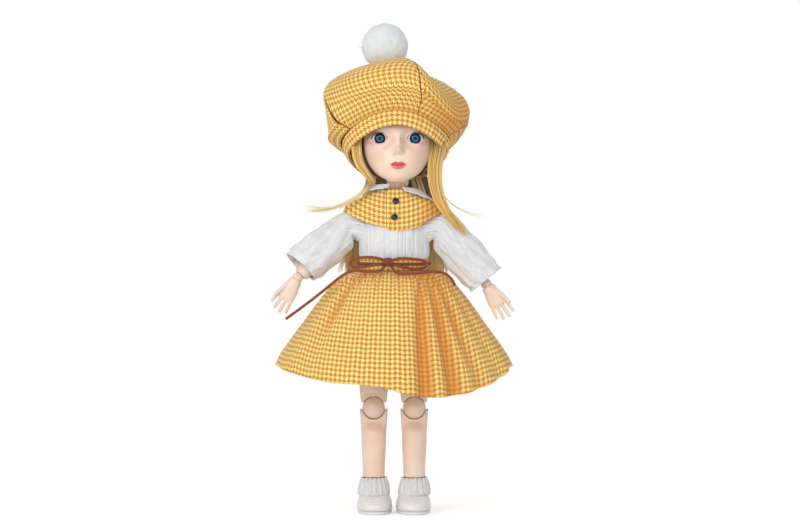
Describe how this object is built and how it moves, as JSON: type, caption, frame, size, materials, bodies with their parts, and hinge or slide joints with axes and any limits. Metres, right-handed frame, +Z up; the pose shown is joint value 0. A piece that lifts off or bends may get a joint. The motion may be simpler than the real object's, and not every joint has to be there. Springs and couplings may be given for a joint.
{
  "type": "ball jointed doll",
  "caption": "Standing ball jointed doll with long blonde hair, a checked beret with a felt ball, a white blouse, a checked capelet and skirt, a cord belt and white shoes.",
  "frame": {"origin": "on the floor under the waist, midway between the two feet", "axes": "+Z up, -Y the way the doll looks, +X to the doll's left"},
  "size_m": [0.1698, 0.1394, 0.3437],
  "materials": {
    "vinyl": "satin",
    "eyes": "gloss",
    "hair": "satin",
    "checked_cloth": "matte",
    "white_cotton": "matte",
    "white_felt": "matte",
    "shoes": "satin",
    "cord": "matte",
    "buttons": "gloss"
  },
  "bodies": {
    "pelvis": {"belt_cord": "cord", "belt_knot": "cord", "belt_loop_left": "cord", "belt_loop_right": "cord", "cord_tail_left": "cord", "cord_tail_right": "cord", "pelvis": "vinyl", "skirt": "checked_cloth", "waistband": "checked_cloth"},
    "waist_ball": {"waist_ball": "vinyl"},
    "chest": {"blouse_bodice": "white_cotton", "button_lower": "buttons", "button_upper": "buttons", "capelet": "checked_cloth", "chest_back": "vinyl", "chest_front": "vinyl", "collar_left": "white_cotton", "collar_right": "white_cotton"},
    "neck": {"neck": "vinyl"},
    "head": {"eye_left": "eyes", "eye_right": "eyes", "hair_back": "hair", "hair_lock_left": "hair", "hair_lock_right": "hair", "head_cap": "vinyl", "head_shell": "vinyl", "wig_cap": "hair"},
    "hat": {"hat_band": "checked_cloth", "hat_crown": "checked_cloth", "pompom": "white_felt"},
    "shoulder_pivot_left": {"shoulder_ball_left": "vinyl"},
    "upper_arm_left": {"sleeve_left": "white_cotton", "upper_arm_left": "vinyl"},
    "elbow_pivot_left": {"elbow_ball_left": "vinyl"},
    "forearm_left": {"forearm_left": "vinyl"},
    "wrist_pivot_left": {"wrist_ball_left": "vinyl"},
    "hand_left": {"hand_left": "vinyl"},
    "hip_pivot_left": {"hip_ball_left": "vinyl"},
    "thigh_left": {"thigh_left": "vinyl"},
    "knee_pivot_left": {"knee_ball_left": "vinyl"},
    "shin_left": {"shin_left": "vinyl"},
    "foot_left": {"foot_left": "vinyl", "shoe_lace_left": "white_cotton", "shoe_sole_left": "shoes", "shoe_upper_left": "shoes"},
    "shoulder_pivot_right": {"shoulder_ball_right": "vinyl"},
    "upper_arm_right": {"sleeve_right": "white_cotton", "upper_arm_right": "vinyl"},
    "elbow_pivot_right": {"elbow_ball_right": "vinyl"},
    "forearm_right": {"forearm_right": "vinyl"},
    "wrist_pivot_right": {"wrist_ball_right": "vinyl"},
    "hand_right": {"hand_right": "vinyl"},
    "hip_pivot_right": {"hip_ball_right": "vinyl"},
    "thigh_right": {"thigh_right": "vinyl"},
    "knee_pivot_right": {"knee_ball_right": "vinyl"},
    "shin_right": {"shin_right": "vinyl"},
    "foot_right": {"foot_right": "vinyl", "shoe_lace_right": "white_cotton", "shoe_sole_right": "shoes", "shoe_upper_right": "shoes"}
  },
  "joints": [
    {"name": "waist_turn", "type": "hinge", "parent": "pelvis", "child": "waist_ball", "pos_m": [0, 0, 0.173], "axis": [0, 0, 1], "range_deg": [-30, 30], "deforming": ["blouse_bodice"]},
    {"name": "waist_bend", "type": "hinge", "parent": "waist_ball", "child": "chest", "pos_m": [0, 0, 0.173], "axis": [1, 0, 0], "range_deg": [-10, 14], "deforming": ["blouse_bodice"]},
    {"name": "neck_nod", "type": "hinge", "parent": "chest", "child": "neck", "pos_m": [0, 0, 0.22], "axis": [1, 0, 0], "range_deg": [-14, 14], "deforming": ["hair_back", "hair_lock_left", "hair_lock_right", "collar_left", "collar_right"]},
    {"name": "head_turn", "type": "hinge", "parent": "neck", "child": "head", "pos_m": [0.0025, 0, 0.238], "axis": [0, 0, 1], "range_deg": [-60, 60], "deforming": ["hair_back", "hair_lock_left", "hair_lock_right"]},
    {"name": "hat_lift", "type": "slide", "parent": "head", "child": "hat", "axis": [0, 0.342, 0.9397], "range_m": [0, 0.06]},
    {"name": "shoulder_swing_left", "type": "hinge", "parent": "chest", "child": "shoulder_pivot_left", "pos_m": [0.03, 0, 0.203], "axis": [1, 0, 0], "range_deg": [-90, 35], "deforming": ["sleeve_left", "capelet", "collar_left"]},
    {"name": "shoulder_raise_left", "type": "hinge", "parent": "shoulder_pivot_left", "child": "upper_arm_left", "pos_m": [0.03, 0, 0.203], "axis": [0, -1, 0], "range_deg": [-28, 60], "deforming": ["sleeve_left", "capelet", "collar_left"]},
    {"name": "elbow_twist_left", "type": "hinge", "parent": "upper_arm_left", "child": "elbow_pivot_left", "pos_m": [0.04726, -0.00121, 0.18163], "axis": [0.6278, -0.0439, -0.7771], "range_deg": [-45, 45]},
    {"name": "elbow_bend_left", "type": "hinge", "parent": "elbow_pivot_left", "child": "forearm_left", "pos_m": [0.04726, -0.00121, 0.18163], "axis": [0.7779, 0, 0.6284], "range_deg": [-70, 0], "deforming": ["sleeve_left"]},
    {"name": "wrist_twist_left", "type": "hinge", "parent": "forearm_left", "child": "wrist_pivot_left", "pos_m": [0.06453, -0.00241, 0.16026], "axis": [0.6278, -0.0439, -0.7771], "range_deg": [-80, 80]},
    {"name": "wrist_bend_left", "type": "hinge", "parent": "wrist_pivot_left", "child": "hand_left", "pos_m": [0.06453, -0.00241, 0.16026], "axis": [0.7779, 0, 0.6284], "range_deg": [-45, 45]},
    {"name": "hip_swing_left", "type": "hinge", "parent": "pelvis", "child": "hip_pivot_left", "pos_m": [0.0142, 0, 0.15], "axis": [1, 0, 0], "range_deg": [-60, 15], "deforming": ["skirt"]},
    {"name": "hip_spread_left", "type": "hinge", "parent": "hip_pivot_left", "child": "thigh_left", "pos_m": [0.0142, 0, 0.15], "axis": [0, -1, 0], "range_deg": [0, 25], "deforming": ["skirt"]},
    {"name": "knee_twist_left", "type": "hinge", "parent": "thigh_left", "child": "knee_pivot_left", "pos_m": [0.0142, 0, 0.0735], "axis": [0, 0, 1], "range_deg": [-20, 20]},
    {"name": "knee_bend_left", "type": "hinge", "parent": "knee_pivot_left", "child": "shin_left", "pos_m": [0.0142, 0, 0.0735], "axis": [1, 0, 0], "range_deg": [0, 65]},
    {"name": "ankle_bend_left", "type": "hinge", "parent": "shin_left", "child": "foot_left", "pos_m": [0.0142, 0, 0.025], "axis": [1, 0, 0], "range_deg": [-15, 15]},
    {"name": "shoulder_swing_right", "type": "hinge", "parent": "chest", "child": "shoulder_pivot_right", "pos_m": [-0.03, 0, 0.203], "axis": [1, 0, 0], "range_deg": [-90, 35], "deforming": ["sleeve_right", "capelet", "collar_right"]},
    {"name": "shoulder_raise_right", "type": "hinge", "parent": "shoulder_pivot_right", "child": "upper_arm_right", "pos_m": [-0.03, 0, 0.203], "axis": [0, 1, 0], "range_deg": [-28, 60], "deforming": ["sleeve_right", "capelet", "collar_right"]},
    {"name": "elbow_twist_right", "type": "hinge", "parent": "upper_arm_right", "child": "elbow_pivot_right", "pos_m": [-0.04859, -0.00677, 0.1839], "axis": [0.676, 0.246, 0.6947], "range_deg": [-45, 45]},
    {"name": "elbow_bend_right", "type": "hinge", "parent": "elbow_pivot_right", "child": "forearm_right", "pos_m": [-0.04859, -0.00677, 0.1839], "axis": [0.7167, 0, -0.6974], "range_deg": [-70, 0], "deforming": ["sleeve_right"]},
    {"name": "wrist_twist_right", "type": "hinge", "parent": "forearm_right", "child": "wrist_pivot_right", "pos_m": [-0.06718, -0.01353, 0.16479], "axis": [0.676, 0.246, 0.6947], "range_deg": [-80, 80]},
    {"name": "wrist_bend_right", "type": "hinge", "parent": "wrist_pivot_right", "child": "hand_right", "pos_m": [-0.06718, -0.01353, 0.16479], "axis": [0.7167, 0, -0.6974], "range_deg": [-45, 45]},
    {"name": "hip_swing_right", "type": "hinge", "parent": "pelvis", "child": "hip_pivot_right", "pos_m": [-0.0142, 0, 0.15], "axis": [1, 0, 0], "range_deg": [-60, 15], "deforming": ["skirt"]},
    {"name": "hip_spread_right", "type": "hinge", "parent": "hip_pivot_right", "child": "thigh_right", "pos_m": [-0.0142, 0, 0.15], "axis": [0, 1, 0], "range_deg": [0, 25], "deforming": ["skirt"]},
    {"name": "knee_twist_right", "type": "hinge", "parent": "thigh_right", "child": "knee_pivot_right", "pos_m": [-0.0142, 0, 0.0735], "axis": [0, 0, 1], "range_deg": [-20, 20]},
    {"name": "knee_bend_right", "type": "hinge", "parent": "knee_pivot_right", "child": "shin_right", "pos_m": [-0.0142, 0, 0.0735], "axis": [1, 0, 0], "range_deg": [0, 65]},
    {"name": "ankle_bend_right", "type": "hinge", "parent": "shin_right", "child": "foot_right", "pos_m": [-0.0142, 0, 0.025], "axis": [1, 0, 0], "range_deg": [-15, 15]}
  ]
}
